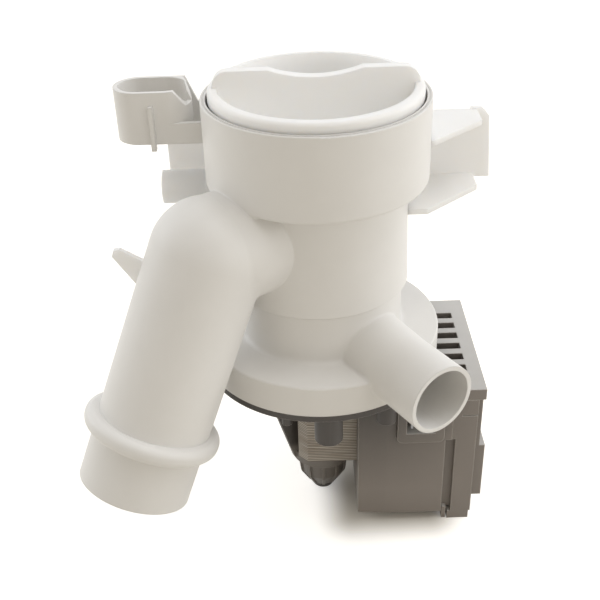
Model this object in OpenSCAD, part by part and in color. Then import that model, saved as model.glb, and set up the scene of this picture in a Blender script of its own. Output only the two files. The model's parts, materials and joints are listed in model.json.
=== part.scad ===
// Washing machine drain pump: filter housing with an elbow inlet and a side outlet, on a coil motor.
// The pump axis is Z. The origin lies on it, on the surface that the pump stands on.

/* [Filter housing] */
// Outside diameter of the collar round the filter cap
collar_d = 74; // [71:0.5:80]
// Height of the collar
collar_h = 28.2; // [24:0.2:32]
// Wall of the collar
collar_wall = 1.8; // [1.4:0.1:2.2]
// Outside diameter of the filter body under the collar
body_d = 60; // [58:0.5:63]
// How much wider the filter body is at its foot
body_draft = 2; // [0:0.2:3]
// Height of the filter body
body_h = 38; // [34:0.5:44]
// How far the pump chamber steps in below the filter body
neck_inset = 2; // [1:0.25:4]
// Height of the pump chamber above the motor joint
neck_h = 30.5; // [29:0.5:34]
// Wall of the white moulding
wall = 2.4; // [1.8:0.1:2.8]
// Outside diameter of the skirt over the motor flange
skirt_d = 85.2; // [84:0.2:90]
// Height of the skirt
skirt_h = 11.7; // [10.5:0.1:13]
// Radius of the cove between skirt and pump chamber
cove_r = 1.8; // [1:0.2:4]

/* [Inlet elbow] */
// Outside diameter of the inlet
inlet_d = 38; // [34:0.5:40]
// Wall of the inlet
inlet_wall = 2.2; // [1.6:0.1:2.6]
// Direction of the inlet round the pump axis
inlet_azimuth = 216; // [205:1:225]
// Lean of the inlet leg from the vertical
inlet_tilt = 25.6; // [20:0.2:35]
// Height of the inlet's axis above the motor joint
inlet_rise = 54; // [51:0.5:56]
// Distance from the pump axis to the bend
inlet_reach = 44.4; // [42:0.2:50]
// Length of the leg from the bend to its mouth
leg_len = 84.5; // [76:0.5:90]
// Length of the hose spigot past the bead
spigot_len = 19; // [15:0.5:24]
// Outside diameter of the hose bead
bead_d = 46.2; // [43:0.2:49]
// Width of the hose bead
bead_w = 6; // [4:0.2:8]
// Diameter of the port from the elbow into the filter body
inlet_port_d = 27; // [22:0.5:28]

/* [Outlet] */
// Outside diameter of the outlet spigot
outlet_d = 24.4; // [20:0.2:25]
// Wall of the outlet spigot
outlet_wall = 1.6; // [1.2:0.1:2.4]
// Direction of the outlet round the pump axis
outlet_azimuth = -57.7; // [-62:0.1:-52]
// Offset of the outlet's axis from the pump axis
outlet_offset = 3.8; // [0:0.1:6]
// Distance from the pump axis to the outlet's mouth
outlet_reach = 63.3; // [60:0.1:72]
// Diameter of the outlet's root where it leaves the pump chamber
outlet_root_d = 26.4; // [25.4:0.2:30]
// Length of the taper at the outlet's root
outlet_root_len = 20; // [14:0.5:21]

/* [Brackets on the housing] */
// Length of the hose ring
ring_len = 25.6; // [22:0.2:28]
// Depth of the hose ring from front to back
ring_depth = 17; // [15:0.2:20]
// Height of the hose ring
ring_h = 17.6; // [14:0.2:20]
// Wall of the hose ring
ring_wall = 1.7; // [1.3:0.1:2.2]
// Distance of the hose ring's middle from the pump axis, to the left
ring_x = 53.6; // [53:0.2:60]
// Distance of the hose ring's middle behind the pump axis
ring_y = 12.3; // [10:0.1:14]
// Outside diameter of the vent nozzle
nozzle_d = 11.6; // [9:0.2:13]
// Distance of the vent nozzle's mouth from the pump axis
nozzle_reach = 53; // [48:0.5:58]
// Distance of the side bracket's end from the pump axis
bracket_reach = 62.6; // [60:0.2:66]
// Height of the side bracket over its flanges
bracket_h = 26; // [22:0.5:28]
// Thickness of the brackets' plates
plate_t = 2; // [1.6:0.1:2.4]

/* [Filter] */
// Gap between the cap's rim and the collar's mouth
cap_gap = 0.7; // [0.4:0.1:1.2]
// Depth of the cap's hand hollow below the rim
cap_depth = 18; // [14:0.5:20]
// Thickness of the cap's grip bar
grip_t = 4; // [3:0.2:5]
// Height of the grip bar above the rim
grip_rise = 5.2; // [3:0.2:7]
// How far the grip bar dips in its middle
grip_dip = 2.6; // [1:0.2:4]
// Section diameter of the cap's seal ring
seal_d = 3.2; // [2.8:0.1:3.4]
// Outside diameter of the strainer basket
basket_d = 53; // [48:0.5:54]
// Number of slots round the strainer basket
basket_slots = 14; // [8:2:18]

/* [Pump rotor] */
// Diameter of the impeller
impeller_d = 38; // [34:0.5:43]
// Number of impeller blades
blade_count = 6; // [4:1:8]
// Diameter of the rotor shaft
shaft_d = 4; // [3:0.1:5]
// Diameter of the rotor magnet
magnet_d = 17.2; // [15:0.2:17.6]
// Length of the rotor magnet
magnet_len = 22; // [16:0.5:22]
// Outside diameter of the rotor chamber
can_d = 22; // [21.4:0.2:22.6]
// Wall of the rotor chamber
can_wall = 1.4; // [1:0.1:1.6]

/* [Motor] */
// Height of the motor from the surface to the motor joint
motor_h = 68; // [66:0.5:74]
// Thickness of the motor flange
flange_t = 2.4; // [1.6:0.1:3]
// Height of the stator stack
stack_h = 24; // [20:0.5:26]
// Width of the stator stack over its limbs
stack_w = 28; // [27:0.5:29]
// Gap between the stator limbs
limb_gap = 12; // [10.5:0.1:13]
// Length of the stator stack from the rotor axis to its yoke's outside
stack_len = 51; // [48:0.5:52]
// How far the stator reaches past the rotor axis, away from the coils
pole_reach = 9.5; // [8:0.5:11]
// Distance from the pump axis to the near wall of the coil cover
cover_x = 12.6; // [12:0.1:14]
// Distance from the pump axis to the front of the coil cover
cover_front = 23; // [22.6:0.1:26]
// Distance from the pump axis to the back of the coil cover
cover_back = 37; // [27:0.2:39]
// Distance from the pump axis to the end of the yoke cover
cover_end = 55.8; // [55:0.2:58]
// Wall of the coil cover and the yoke cover
cover_wall = 1.8; // [1.4:0.1:2]
// Thickness of the vent plate
vent_t = 4.5; // [3:0.1:5]
// Distance of the vent plate's top below the motor joint
vent_drop = 6; // [5:0.1:6.5]
// Width of one vent slot
vent_slot_w = 3.8; // [2.5:0.1:4.4]
// Spacing of the vent slots
vent_pitch = 7; // [6:0.1:7.6]

/* [Hidden] */
$fn = 72;

// Colours
white_pp = "#e9e6e0";
cap_white = "#efede8";
grey_pp = "#77716b";
dark_grey = "#4a4643";
iron = "#8d8273";
copper = "#b0713c";
steel = "#b9bcc0";
black_rubber = "#26262a";
ferrite = "#3a3a3d";

// Clearances
slip = 0.3;
running = 0.05;
over = 1;
half_plane = 500;

// Heights above the motor joint
collar_r = collar_d / 2;
collar_bore_r = collar_r - collar_wall;
body_top_r = body_d / 2;
body_foot_r = body_top_r + body_draft / 2;
neck_r = body_foot_r - neck_inset;
chamber_r = neck_r - wall;
skirt_r = skirt_d / 2;
collar_z = neck_h + body_h;
mouth_z = collar_z + collar_h;
edge_round = 0.8;
collar_round = 1.2;
foot_chamfer = 0.6;
gasket_t = 1.2;

inlet_r = inlet_d / 2;
inlet_bore_r = inlet_r - inlet_wall;
elbow_step = 0.4;
bead_round = 2.6;
bead_at = leg_len - spigot_len - bead_w / 2;

outlet_r = outlet_d / 2;
outlet_bore_r = outlet_r - outlet_wall;
outlet_z = outlet_r + 0.2;
outlet_start = chamber_r - 2 * wall;
root_sink = 6;
root_from = neck_r - root_sink;
root_drop = 0.1;

boss_pcd_r = skirt_r - 5.6;
boss_r = 4.9;
boss_len = 11.3;
side_boss_r = 3.5;
side_boss_len = 10;
flange_peg_r = 1.8;
flange_peg_len = 6.2;
screw_r = 1.5;
screw_head_r = 2.9;
screw_head_h = 1.8;
screw_recess = screw_head_h + 0.5;
screw_seat = -flange_t - boss_len + screw_recess;
screw_angles = [92, 137, 182, 272];
side_boss_angle = 306;
flange_peg_angle = 249.5;
hook_angle = 299;
hook_foot = -flange_t - 4;
hook_w = 2.2;
hook_t = 1.4;
tower_r = boss_r - 0.3;

// Cap and strainer
rim_sink = 1.2;
rim_rise = 3.2;
rim_round = 1.25;
rim_z = mouth_z - rim_sink;
rim_top = mouth_z + rim_rise;
cup_r = collar_bore_r - 1.6;
cup_wall = 2.2;
cup_draft = 2;
cup_floor = rim_top - cap_depth;
cap_floor_t = 2;
cap_under = cup_floor - cap_floor_t;
grip_top = rim_top + grip_rise;
grip_foot = cup_floor - 0.5;
grip_half = cup_r - 0.8;
grip_end_r = 5;
dip_half = 15;
dip_r = (dip_half * dip_half + grip_dip * grip_dip) / (2 * grip_dip);
seal_r = seal_d / 2;
seal_path_r = collar_bore_r - 0.15 - seal_r;
seal_z = cup_floor + 2.4;
groove_r = seal_path_r - seal_r - 0.1;
hub_r = 5;
hub_lip_r = 6.2;
hub_lip_h = 2.4;
basket_r = basket_d / 2;
basket_wall = 2;
basket_top_t = 3;
basket_top = cap_under - slip;
hub_lip_z = basket_top - basket_top_t - slip - hub_lip_h;
basket_foot = neck_h + wall + 1.4;
basket_band = 3;
basket_slot_w = 6.4;

// Rotor
shaft_r = shaft_d / 2;
magnet_r = magnet_d / 2;
sleeve_t = 0.5;
can_r = can_d / 2;
can_bore_r = can_r - can_wall;
register_h = 3;
register_r = chamber_r - 0.15;
impeller_r = impeller_d / 2;
impeller_z = register_h + 1.2;
impeller_h = 14;
impeller_base_t = 1.6;
blade_t = 2;
dog_hub_r = shaft_r + 1.8;
dog_r = dog_hub_r + 4;
dog_gap = 0.4;
dog_sector = 70;
dog_h = 8;
impeller_bore_r = dog_r + dog_gap;
impeller_hub_r = impeller_bore_r + 1.3;
impeller_cap_t = 3;
dog_z = impeller_z + 1;
shaft_top = impeller_z + impeller_h - 0.8;
holder_z = -12;
holder_top = -2.4;
bearing_r = 6;
bearing_h = 6;
bearing_seat_t = 1.4;
lip_seal_r = 5.4;
lip_seal_h = 2;

// Stator and covers, measured down from the motor joint
stack_top = -21;
stack_foot = stack_top - stack_h;
stack_half = stack_w / 2;
limb_half = limb_gap / 2;
yoke_t = 8;
pole_chamfer = 3.5;
can_foot = stack_foot - 2;
can_ring_r = 12.2;
can_ring_h = 3.2;
cup_top_r = 9.5;
cup_mid_r = 8.4;
cup_mid_z = can_foot - can_ring_h - 9;
rear_seat_h = 14.8;
rear_bearing_r = 4.6;
rear_bearing_h = 5;
tail_z = can_foot - can_ring_h - rear_seat_h;
tail_r = 5.1;
plug_r = 4.2;
rib_count = 10;
rib_t = 1.2;
rib_sink = 0.5;
rib_end = 0.3;
rib_out = 0.8;
gusset_angle = 208;
gusset_reach = 27;
gusset_toe = 13;
gusset_t = 1.9;
rear_bearing_z = can_foot - can_ring_h - rear_bearing_h + 1;
shaft_foot = rear_bearing_z - 0.6;
magnet_z = stack_top - stack_h / 2 - magnet_len / 2;

floor_z = -motor_h;
vent_top = -vent_drop;
vent_foot = vent_top - vent_t;
cover_foot = floor_z + 3.7;
seam_x = 44.6;
seam_high_x = 47;
seam_z = -28.7;
groove_w = 3.6;
foot_len = 12;
foot_inset = 0.6;
foot_out = 1.2;
groove_depth = 2;
groove_y = -cover_front + groove_depth;
tongue_rise = 0.8;
peg_x = seam_x + 0.3;
peg_w = 1.6;
peg_rise = 2;
bend_x = 23;
bend_depth = 1;
yoke_cover_x = seam_x + groove_w;
vent_over = 2.4;
lip_h = 6.8;
parting = 0.5;
clip_inset = 3;
clip_w = 9;
clip_t = 4.2;
clip_drop = 5.5;
vent_margin_back = 9.4;
vent_margin_end = 5.3;
vent_slots = 7;
vent_slot_x = cover_x + 3;
bobbin_wall = 1.2;
bobbin_flange_t = 1.4;
bobbin_x = cover_x + cover_wall + slip;
bobbin_end = stack_len - yoke_t - slip;
bobbin_reach = slip + bobbin_wall;
wind_t = 2.8;
flange_reach = bobbin_reach + wind_t + 0.4;
socket_x = 26.6;
socket_end = 43.8;
socket_top = vent_foot - 2;
socket_foot = -28.2;
socket_raise = 1.6;
socket_depth = 4;
socket_wall = 3.4;
socket_sill = 4.2;
socket_round = 2.2;
socket_back = 1;
blade_pitch = 6.3;
tab_w = 4.8;
tab_t = 0.8;
cutout_size = [12, 5, 6];

// Frames and small helpers
module on_joint() translate([0, 0, motor_h]) children();
module toward(az) rotate([0, 0, az]) children();
module at_boss(angles) for (a = angles) toward(a) translate([boss_pcd_r, 0, 0]) children();
module block(x0, x1, y0, y1, z0, z1) translate([x0, y0, z0]) cube([x1 - x0, y1 - y0, z1 - z0]);
module tube(r_out, r_in, z0, z1) {
  translate([0, 0, z0])
    difference() {
      cylinder(h = z1 - z0, r = r_out);
      translate([0, 0, -over]) cylinder(h = z1 - z0 + 2 * over, r = r_in);
    }
}
// Half section of a disc with its rim rounded above and below
module rim_section(r, z0, z1, above = 0, below = 0) {
  translate([0, z0]) square([r - max(above, below), z1 - z0]);
  translate([0, z0 + below]) square([r, z1 - z0 - above - below]);
  if (above > 0) translate([r - above, z1 - above]) circle(above);
  if (below > 0) translate([r - below, z0 + below]) circle(below);
}
module round_square(w, h, r) {
  square([w - 2 * r, h], center = true);
  square([w, h - 2 * r], center = true);
  for (x = [-1, 1], y = [-1, 1]) translate([x * (w / 2 - r), y * (h / 2 - r)]) circle(r);
}
// Right half of a section, which a revolve needs
module right_half() {
  intersection() {
    children();
    translate([0, -half_plane]) square(2 * half_plane);
  }
}
// Plan of a sector of a disc, on both sides of the direction middle
module sector_plan(r, middle, spread) {
  side = r * tan(spread / 2);
  intersection() {
    circle(r);
    rotate(middle) polygon([[0, 0], [r, -side], [r, side]] * 2);
  }
}

// White housing
module housing_section() {
  right_half() rim_section(skirt_r, 0, skirt_h, above = edge_round);
  square([neck_r, neck_h + foot_chamfer]);
  difference() {
    translate([neck_r - over, skirt_h - over]) square(cove_r + over);
    translate([neck_r + cove_r, skirt_h + cove_r]) circle(cove_r);
  }
  polygon([
    [0, neck_h], [body_foot_r - foot_chamfer, neck_h], [body_foot_r, neck_h + foot_chamfer],
    [body_top_r, collar_z + over], [0, collar_z + over]
  ]);
  right_half() rim_section(collar_r, collar_z, mouth_z, above = 0.4, below = collar_round);
}
module housing_hollow_section() {
  translate([0, collar_z + wall]) square([collar_bore_r, collar_h]);
  polygon([
    [0, neck_h + wall], [body_foot_r - wall, neck_h + wall], [body_top_r - wall, collar_z + wall + over],
    [0, collar_z + wall + over]
  ]);
  translate([0, -over]) square([chamber_r, neck_h + wall + 2 * over]);
  translate([neck_r, -over]) square([skirt_r - wall - neck_r, skirt_h - wall + over]);
}
module housing_envelope() rotate_extrude() housing_section();

module outlet_frame() {
  toward(outlet_azimuth) translate([0, outlet_offset, outlet_z]) rotate([0, 90, 0]) children();
}
module outlet_outside() {
  outlet_frame()
    rotate_extrude()
      polygon([
        [0, root_from], [outlet_root_d / 2, root_from], [outlet_r, root_from + outlet_root_len],
        [outlet_r, outlet_reach], [0, outlet_reach]
      ]);
}
module outlet_way() {
  outlet_frame() translate([0, 0, outlet_start]) cylinder(h = outlet_reach, r = outlet_bore_r);
}
module inlet_port() {
  toward(inlet_azimuth)
    translate([body_top_r - 3 * wall, 0, inlet_rise - 2])
      rotate([0, 90, 0])
        cylinder(h = 5 * wall, d = inlet_port_d);
}

module filter_housing() {
  color(white_pp)
    on_joint()
      difference() {
        union() {
          rotate_extrude()
            difference() {
              housing_section();
              housing_hollow_section();
            }
          intersection() {
            outlet_frame()
              translate([0, 0, chamber_r + wall / 2])
                cylinder(h = outlet_reach, r = outlet_r);
            rotate_extrude()
              translate([0, outlet_z - outlet_r])
                square([skirt_r - wall / 2, skirt_h - wall / 2]);
          }
          at_boss(screw_angles) cylinder(h = skirt_h - wall / 2, r = tower_r);
        }
        translate([0, 0, -over]) cylinder(h = gasket_t + over, r = neck_r);
        outlet_way();
        inlet_port();
        at_boss(screw_angles)
          translate([0, 0, -over])
            cylinder(h = skirt_h - wall + over, r = screw_r + running);
      }
}

// Elbow
module leg_frame() {
  toward(inlet_azimuth)
    translate([inlet_reach, 0, inlet_rise])
      rotate([0, 180 - inlet_tilt, 0])
        children();
}
// A leg with a round head at the bend, and a stub that is a little slimmer and ends inside the head
module elbow_run(r, stub_from, leg_to, with_bead = false) {
  toward(inlet_azimuth)
    translate([stub_from, 0, inlet_rise])
      rotate([0, 90, 0])
        cylinder(h = inlet_reach - stub_from, r = r - elbow_step);
  leg_frame()
    rotate_extrude()
      right_half() {
        circle(r);
        square([r, leg_to]);
        if (with_bead)
          translate([0, bead_at])
            rim_section(bead_d / 2, -bead_w / 2, bead_w / 2, above = bead_round, below = bead_round);
      }
}
module inlet_elbow() {
  color(white_pp)
    on_joint()
      difference() {
        elbow_run(inlet_r, 0, leg_len, with_bead = true);
        elbow_run(inlet_bore_r, body_top_r - wall, leg_len + over);
        housing_envelope();
      }
}

module outlet_spigot() {
  color(white_pp)
    on_joint()
      difference() {
        outlet_outside();
        outlet_way();
        housing_envelope();
        translate([0, 0, outlet_z - outlet_r - outlet_d - root_drop])
          cylinder(h = outlet_d, r = 2 * outlet_reach);
      }
}

// Hose ring: an oval loop with an arm and a web to the collar
module oval(len, depth) {
  for (s = [-1, 1]) translate([s * (len - depth) / 2, 0]) circle(d = depth);
  square([len - depth, depth], center = true);
}
ring_z = collar_z + 10.9;
ring_arm_h = 7;
ring_notch_drop = 5.6;
ring_notch_len = 5.3;
ring_notch_slope = 3.5;
ring_web_h = 9;
ring_web_slope = 3.7;
ring_web_back = 2.5;
ring_rib_h = 15;
ring_rib_t = 1.6;
ring_rib_drop = 1.8;
module hose_ring() {
  ring_end = -ring_x + ring_len / 2;
  ring_front = ring_y - ring_depth / 2;
  ring_back = ring_y + ring_depth / 2;
  web_turn = ring_depth / 2 - ring_web_back;
  color(white_pp)
    on_joint()
      difference() {
        union() {
          translate([-ring_x, ring_y, ring_z])
            difference() {
              linear_extrude(ring_h) oval(ring_len, ring_depth);
              translate([0, 0, -over])
                linear_extrude(ring_h + 2 * over)
                  oval(ring_len - 2 * ring_wall, ring_depth - 2 * ring_wall);
              translate([ring_len / 2, 0, ring_h])
                rotate([90, 0, 0]) {
                  linear_extrude(ring_depth)
                    polygon([
                      [-ring_notch_len, over], [-ring_notch_len, 0],
                      [-ring_notch_len + ring_notch_slope, -ring_notch_drop], [over, -ring_notch_drop],
                      [over, over]
                    ]);
                  translate([0, 0, -ring_depth])
                    linear_extrude(ring_depth)
                      polygon([
                        [-ring_web_back, over], [-ring_web_back, 0],
                        [ring_web_slope - ring_web_back, ring_web_h - ring_h], [ring_web_slope, over]
                      ]);
                }
            }
          block(
            ring_end - ring_depth / 2, 0, ring_front, ring_front + plate_t, ring_z, ring_z + ring_arm_h
          );
          translate([ring_end - ring_depth / 2, ring_back, ring_z])
            rotate([90, 0, 0])
              linear_extrude(ring_wall)
                polygon([
                  [0, 0], [0, ring_h], [web_turn, ring_h], [web_turn + ring_web_slope, ring_web_h],
                  [ring_x, ring_web_h], [ring_x, 0]
                ]);
          block(
            -ring_x - ring_rib_t / 2, -ring_x + ring_rib_t / 2,
            ring_front - ring_rib_t, ring_front + ring_wall / 2,
            ring_z - ring_rib_drop, ring_z - ring_rib_drop + ring_rib_h
          );
        }
        housing_envelope();
      }
}

tab_y = 18.8;
tab_reach = 51.4;
tab_h = 12;
tab_drop = 4.4;
module locating_tab() {
  tab_top = ring_z - tab_drop;
  color(white_pp)
    on_joint()
      difference() {
        block(-tab_reach, 0, tab_y, tab_y + plate_t, tab_top - tab_h, tab_top);
        housing_envelope();
      }
}

nozzle_wall = 1.6;
nozzle_free = nozzle_reach - collar_r - 1;
nozzle_r = nozzle_d / 2;
nozzle_root_r = nozzle_r + 0.6;
nozzle_y = 10;
nozzle_z = collar_z - 7.2;
module vent_nozzle() {
  color(white_pp)
    on_joint()
      difference() {
        translate([-nozzle_reach, nozzle_y, nozzle_z])
          rotate([0, 90, 0])
            rotate_extrude()
              polygon([
                [0, 0], [nozzle_r, 0], [nozzle_r, nozzle_free], [nozzle_root_r, nozzle_free],
                [nozzle_root_r, nozzle_reach], [0, nozzle_reach]
              ]);
        translate([-nozzle_reach - over, nozzle_y, nozzle_z])
          rotate([0, 90, 0])
            cylinder(h = nozzle_reach, r = nozzle_r - nozzle_wall);
        housing_envelope();
      }
}

fin_y = -22;
fin_reach = 67.4;
fin_root = 50;
fin_foot = 37;
fin_tip = 54.3;
fin_tip_h = 2.4;
fin_tip_w = 2.6;
fin_drop = 6.8;
fin_lean = 8;
module side_fin() {
  color(white_pp)
    on_joint()
      difference() {
        translate([0, fin_y + plate_t, 0])
          rotate([90, 0, 0])
            linear_extrude(plate_t)
              polygon([
                [-fin_reach, fin_tip - fin_tip_h], [-fin_reach + fin_tip_w / 4, fin_tip - fin_tip_h / 6],
                [-fin_reach + fin_tip_w, fin_tip], [-fin_root - fin_lean / 2, fin_tip - fin_drop],
                [-fin_root, fin_foot], [-fin_root - fin_lean, fin_foot]
              ]);
        elbow_run(inlet_r, 0, leg_len);
      }
}

bracket_z = collar_z + 12;
bracket_back = 26;
bracket_front = -4;
bracket_root = 22;
bracket_nose = 36.8;
flange_tip = 13;
flange_nip = 1;
tongue_len = 6.1;
tongue_lean = 1.5;
tongue_cut = 2.6;
web_rise = 0.4;
web_lift = 0.5;
module bracket_plan() {
  flange_end = bracket_reach - tongue_len;
  polygon([
    [bracket_root, bracket_back - plate_t / 2], [flange_end, bracket_back - plate_t / 2],
    [flange_end, flange_tip + flange_nip], [flange_end - flange_nip, flange_tip],
    [bracket_nose, bracket_front], [bracket_root, bracket_front]
  ]);
}
module bracket_web() {
  web_foot = -bracket_h + web_lift;
  tongue_top = bracket_reach - tongue_lean;
  tongue_from = bracket_reach - tongue_len - plate_t;
  polygon([
    [bracket_root, web_foot], [bracket_reach, web_foot], [tongue_top, -tongue_cut],
    [tongue_top - tongue_cut, web_rise], [tongue_from, web_rise], [tongue_from, -plate_t / 2],
    [bracket_root, -plate_t / 2]
  ]);
}
module mounting_bracket() {
  color(white_pp)
    on_joint()
      difference() {
        union() {
          for (z = [bracket_z - plate_t, bracket_z - bracket_h])
            translate([0, 0, z]) linear_extrude(plate_t) bracket_plan();
          translate([0, bracket_back, bracket_z]) rotate([90, 0, 0]) linear_extrude(plate_t) bracket_web();
        }
        housing_envelope();
      }
}

// Filter cap
module cap_section() {
  difference() {
    union() {
      right_half() rim_section(collar_bore_r - cap_gap, rim_z, rim_top, above = rim_round, below = 0.6);
      translate([0, cap_under]) square([cup_r, rim_z - cap_under + over]);
    }
    polygon([
      [0, cup_floor], [cup_r - cup_wall - cup_draft, cup_floor], [cup_r - cup_wall, rim_top + over],
      [0, rim_top + over]
    ]);
  }
  translate([0, hub_lip_z]) square([hub_r, cap_under - hub_lip_z + over / 2]);
  translate([0, hub_lip_z]) square([hub_lip_r, hub_lip_h]);
}
module grip_outline() {
  difference() {
    union() {
      translate([-grip_half, grip_foot]) square([2 * grip_half, grip_top - grip_foot - grip_end_r]);
      translate([-grip_half + grip_end_r, grip_foot])
        square([2 * (grip_half - grip_end_r), grip_top - grip_foot]);
      for (s = [-1, 1]) translate([s * (grip_half - grip_end_r), grip_top - grip_end_r]) circle(grip_end_r);
    }
    translate([0, grip_top - grip_dip + dip_r]) circle(dip_r);
  }
}
module filter_cap() {
  color(cap_white)
    on_joint()
      difference() {
        union() {
          rotate_extrude() cap_section();
          intersection() {
            rotate([90, 0, 0]) linear_extrude(grip_t, center = true) grip_outline();
            translate([0, 0, grip_foot]) cylinder(h = grip_top, r = cup_r - 0.6);
          }
        }
        tube(collar_r, groove_r, seal_z - seal_r - 0.1, seal_z + seal_r + 0.1);
      }
}
module cap_seal() {
  color(black_rubber)
    on_joint()
      rotate_extrude()
        translate([seal_path_r, seal_z])
          circle(seal_r, $fn = 24);
}
module strainer_basket() {
  cage_top = basket_top - basket_top_t;
  cage_mid = (cage_top + basket_foot) / 2;
  low_row = [basket_foot + basket_band + basket_wall, cage_mid - basket_band / 2];
  high_row = [cage_mid + basket_band / 2, cage_top - basket_band];
  color(white_pp)
    on_joint()
      difference() {
        translate([0, 0, basket_foot]) cylinder(h = basket_top - basket_foot, r = basket_r);
        translate([0, 0, basket_foot + basket_wall])
          cylinder(h = cage_top - basket_foot - basket_wall, r = basket_r - basket_wall);
        translate([0, 0, basket_foot]) cylinder(h = basket_top, r = hub_r + running);
        for (i = [0 : basket_slots - 1], rows = [low_row, high_row])
          toward((i + 0.5) * 360 / basket_slots)
            block(
              basket_r - 2 * basket_wall, basket_r + over, -basket_slot_w / 2, basket_slot_w / 2,
              rows[0], rows[1]
            );
      }
}

// Impeller and its lost-motion drive
module impeller() {
  color(dark_grey)
    on_joint()
      difference() {
        translate([0, 0, impeller_z])
          union() {
            cylinder(h = impeller_h, r = impeller_hub_r);
            cylinder(h = impeller_base_t, r = impeller_r - 2);
            for (i = [0 : blade_count - 1])
              toward(i * 360 / blade_count)
                block(impeller_hub_r - 0.5, impeller_r, -blade_t / 2, blade_t / 2, 0, impeller_h - 2);
          }
        translate([0, 0, impeller_z - over])
          linear_extrude(impeller_h - impeller_cap_t + over)
            difference() {
              circle(impeller_bore_r);
              difference() {
                sector_plan(impeller_hub_r, 180, dog_sector);
                circle(dog_hub_r + dog_gap);
              }
            }
        translate([0, 0, impeller_z]) cylinder(h = shaft_top - impeller_z + 0.3, r = shaft_r + running);
      }
}
module drive_dog() {
  color(steel)
    on_joint()
      translate([0, 0, dog_z])
        linear_extrude(dog_h)
          difference() {
            union() {
              circle(dog_hub_r);
              sector_plan(dog_r, 0, dog_sector);
            }
            circle(shaft_r + 0.01);
          }
}
module rotor_shaft() {
  color(steel)
    on_joint()
      translate([0, 0, shaft_foot])
        cylinder(h = shaft_top - shaft_foot, r = shaft_r);
}
module rotor_magnet() {
  color(ferrite) on_joint() tube(magnet_r - sleeve_t, shaft_r + 0.8, magnet_z, magnet_z + magnet_len);
}
module rotor_sleeve() {
  end_t = 1;
  color(black_rubber)
    on_joint()
      difference() {
        translate([0, 0, magnet_z - end_t]) cylinder(h = magnet_len + 2 * end_t, r = magnet_r);
        tube(magnet_r - sleeve_t + 0.01, shaft_r + 0.79, magnet_z - 0.01, magnet_z + magnet_len + 0.01);
        translate([0, 0, magnet_z - 2 * end_t]) cylinder(h = magnet_len + 4 * end_t, r = shaft_r + 0.01);
      }
}
module front_bearing() {
  color(steel)
    on_joint()
      tube(bearing_r, shaft_r + running, holder_z + bearing_seat_t, holder_z + bearing_seat_t + bearing_h);
}
module rear_bearing() {
  color(steel)
    on_joint()
      tube(rear_bearing_r, shaft_r + running, rear_bearing_z, rear_bearing_z + rear_bearing_h);
}
module bearing_holder() {
  seat_top = holder_z + bearing_seat_t + bearing_h;
  color(dark_grey)
    on_joint()
      rotate_extrude()
        difference() {
          translate([0, holder_z]) square([can_bore_r - running, holder_top - holder_z]);
          translate([0, holder_z - over]) square([shaft_r + 1, holder_top - holder_z]);
          translate([0, holder_z + bearing_seat_t]) square([bearing_r + running, bearing_h]);
          translate([0, seat_top - over]) square([lip_seal_r + running, holder_top - seat_top + 2 * over]);
        }
}
module shaft_seal() {
  seat_top = holder_z + bearing_seat_t + bearing_h;
  color(black_rubber) on_joint() tube(lip_seal_r, shaft_r + running, seat_top, seat_top + lip_seal_h);
}
module volute_seal() color(black_rubber) on_joint() tube(neck_r - 0.1, register_r + 0.1, 0, gasket_t);

// Motor flange with the rotor chamber
module can_section() {
  translate([0, -flange_t]) square([skirt_r, flange_t]);
  translate([0, -flange_t]) square([register_r, flange_t + register_h]);
  translate([0, can_foot]) square([can_r, -can_foot]);
  translate([0, can_foot - can_ring_h]) square([can_ring_r, can_ring_h + over]);
  polygon([
    [0, can_foot - can_ring_h + over], [cup_top_r, can_foot - can_ring_h + over],
    [cup_top_r, can_foot - can_ring_h], [cup_mid_r, cup_mid_z], [tail_r, tail_z], [0, tail_z]
  ]);
}
module can_hollow_section() {
  translate([0, can_foot + can_wall]) square([can_bore_r, register_h - can_foot]);
  translate([0, rear_bearing_z]) square([rear_bearing_r + running, can_foot - rear_bearing_z + 2 * can_wall]);
  translate([0, shaft_foot - 0.4]) square([shaft_r + 1, 2]);
}
module motor_flange() {
  color(grey_pp)
    on_joint()
      difference() {
        union() {
          rotate_extrude()
            difference() {
              can_section();
              can_hollow_section();
            }
          at_boss(screw_angles)
            translate([0, 0, -flange_t - boss_len])
              cylinder(h = boss_len + over, r = boss_r);
          at_boss([side_boss_angle])
            translate([0, 0, -flange_t - side_boss_len])
              cylinder(h = side_boss_len + over, r = side_boss_r);
          at_boss([flange_peg_angle])
            translate([0, 0, -flange_t - flange_peg_len])
              cylinder(h = flange_peg_len + over, r = flange_peg_r);
          at_boss([hook_angle]) {
            block(-hook_t, 0, -hook_w / 2, hook_w / 2, hook_foot, -flange_t + over / 2);
            block(-hook_t, hook_t / 2, -hook_w / 2, hook_w / 2, hook_foot, hook_foot + hook_t);
          }
          for (i = [0 : rib_count - 1])
            toward((i + 0.5) * 360 / rib_count)
              rotate([90, 0, 0])
                linear_extrude(rib_t, center = true)
                  polygon([
                    [tail_r - rib_sink, tail_z + rib_end], [tail_r + rib_out, tail_z + rib_end],
                    [cup_mid_r + rib_out, cup_mid_z], [cup_top_r + rib_out, can_foot - can_ring_h + rib_sink],
                    [tail_r, can_foot - can_ring_h + rib_sink]
                  ]);
          toward(gusset_angle)
            rotate([90, 0, 0])
              linear_extrude(gusset_t, center = true)
                polygon([
                  [can_r - can_wall / 2, -flange_t / 2], [gusset_reach, -flange_t / 2],
                  [gusset_toe, can_foot - can_ring_h / 2], [can_r - can_wall / 2, can_foot - can_ring_h / 2]
                ]);
        }
        at_boss(screw_angles)
          translate([0, 0, -flange_t - boss_len - over]) {
            cylinder(h = boss_len + flange_t + 2 * over, r = screw_r + running);
            cylinder(h = screw_recess + over, r = screw_head_r + slip);
          }
      }
}
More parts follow.
